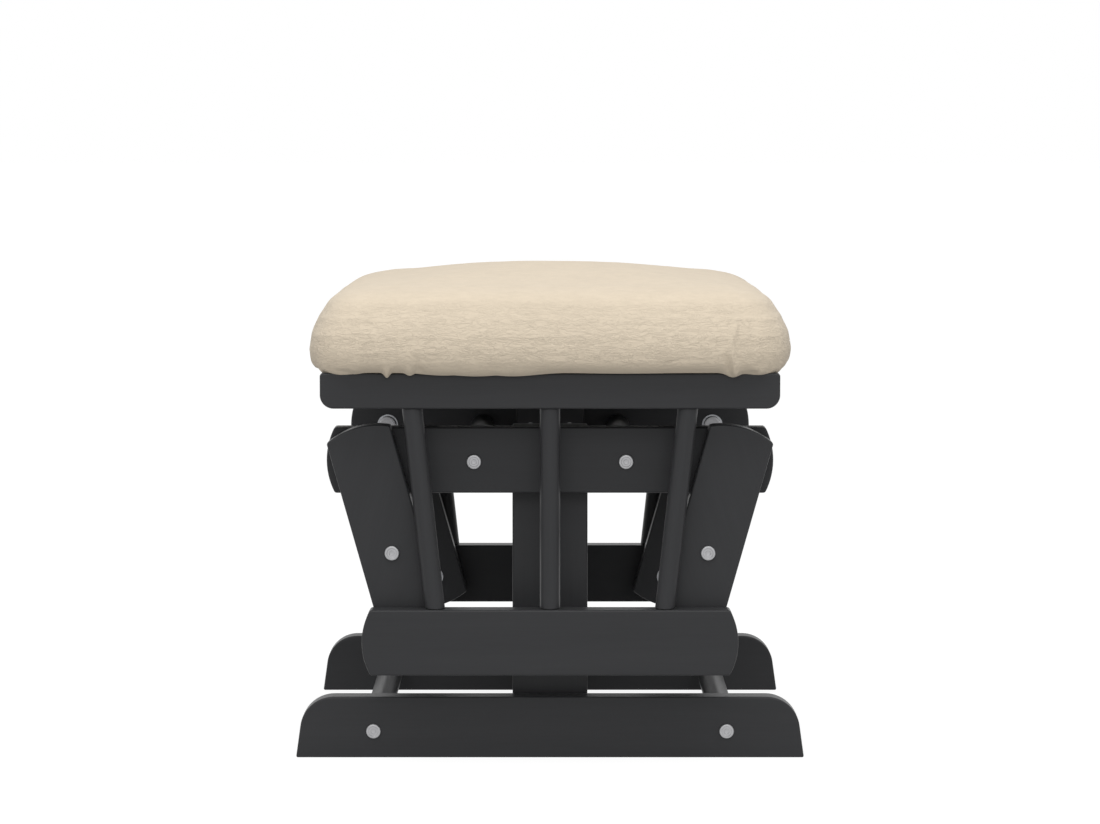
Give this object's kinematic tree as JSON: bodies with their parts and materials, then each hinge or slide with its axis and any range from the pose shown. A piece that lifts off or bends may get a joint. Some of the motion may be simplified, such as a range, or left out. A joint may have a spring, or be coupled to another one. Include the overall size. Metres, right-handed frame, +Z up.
{
  "type": "glider ottoman",
  "caption": "Cushioned ottoman whose seat frame hangs from a fixed base on four leaning swing arms and glides forward and back with a slight tilt.",
  "frame": {"origin": "on the floor, at the middle of the skids' footprint", "axes": "+X the forward way of the glide, +Y the left side, +Z up"},
  "size_m": [0.422, 0.478, 0.4052],
  "materials": {
    "painted_wood": "dark grey satin paint over close-grained wood",
    "zinc_bolts": "dull zinc plate",
    "bearing_steel": "ground bearing steel",
    "screw_steel": "zinc-plated wood screws",
    "brass": "turned brass",
    "beech_pins": "bare fluted beech",
    "linen_cover": "cream slub linen weave",
    "foam": "open-cell upholstery foam",
    "underside_cloth": "plain lining cloth",
    "grip_strip": "hook-and-loop tape"
  },
  "bodies": {
    "base": {"right_skid": "painted_wood", "left_skid": "painted_wood", "right_post": "painted_wood", "left_post": "painted_wood", "right_pivot_rail": "painted_wood", "left_pivot_rail": "painted_wood", "front_skid_dowel": "painted_wood", "rear_skid_dowel": "painted_wood", "front_rail_dowel": "painted_wood", "rear_rail_dowel": "painted_wood", "base_dowel_bolts": "zinc_bolts", "base_dowel_inserts": "brass", "post_screws": "screw_steel", "upper_bearing_outer_rings": "bearing_steel", "upper_bearing_balls": "bearing_steel"},
    "front_arms": {"front_right_arm": "painted_wood", "front_left_arm": "painted_wood", "front_arm_dowel": "painted_wood", "front_arm_bolts": "zinc_bolts", "front_arm_dowel_inserts": "brass", "front_upper_pivot_bolts": "zinc_bolts", "front_upper_inner_rings": "bearing_steel", "front_upper_sleeves": "bearing_steel", "front_upper_inserts": "brass", "front_lower_outer_rings": "bearing_steel", "front_lower_balls": "bearing_steel", "front_lower_inner_rings": "bearing_steel", "front_lower_pivot_bolts": "zinc_bolts", "front_lower_sleeves": "bearing_steel"},
    "rear_arms": {"rear_right_arm": "painted_wood", "rear_left_arm": "painted_wood", "rear_arm_dowel": "painted_wood", "rear_arm_bolts": "zinc_bolts", "rear_arm_dowel_inserts": "brass", "rear_upper_pivot_bolts": "zinc_bolts", "rear_upper_inner_rings": "bearing_steel", "rear_upper_sleeves": "bearing_steel", "rear_upper_inserts": "brass", "rear_lower_outer_rings": "bearing_steel", "rear_lower_balls": "bearing_steel"},
    "seat": {"right_glide_rail": "painted_wood", "left_glide_rail": "painted_wood", "right_seat_rail": "painted_wood", "left_seat_rail": "painted_wood", "right_spindles": "painted_wood", "left_spindles": "painted_wood", "front_cross_rail": "painted_wood", "rear_cross_rail": "painted_wood", "cross_rail_pins": "beech_pins", "seat_slats": "painted_wood", "slat_screws": "screw_steel", "rear_lower_pivot_bolts": "zinc_bolts", "rear_lower_inner_rings": "bearing_steel", "rear_lower_sleeves": "bearing_steel", "lower_pivot_inserts": "brass", "cushion_grip_strips": "grip_strip", "cushion_underside": "underside_cloth", "cushion_foam": "foam", "cushion_cover": "linen_cover"}
  },
  "joints": [
    {"name": "rear_arm_swing", "type": "hinge", "parent": "base", "child": "rear_arms", "pos_m": [-0.1502, 0, 0.2482], "axis": [0, -1, 0], "range_deg": [-22, 26]},
    {"name": "seat_pivot", "type": "hinge", "parent": "rear_arms", "child": "seat", "pos_m": [-0.1096, 0, 0.10328], "axis": [0, -1, 0], "range_deg": [-36, 31]},
    {"name": "front_arm_swing", "type": "hinge", "parent": "base", "child": "front_arms", "pos_m": [0.1502, 0, 0.2482], "axis": [0, -1, 0], "range_deg": [-22, 26]}
  ],
  "couplings": [
    {"joint": "seat_pivot", "follows": "rear_arm_swing", "ratio": -1.3704},
    {"joint": "front_arm_swing", "follows": "rear_arm_swing", "ratio": 1}
  ]
}
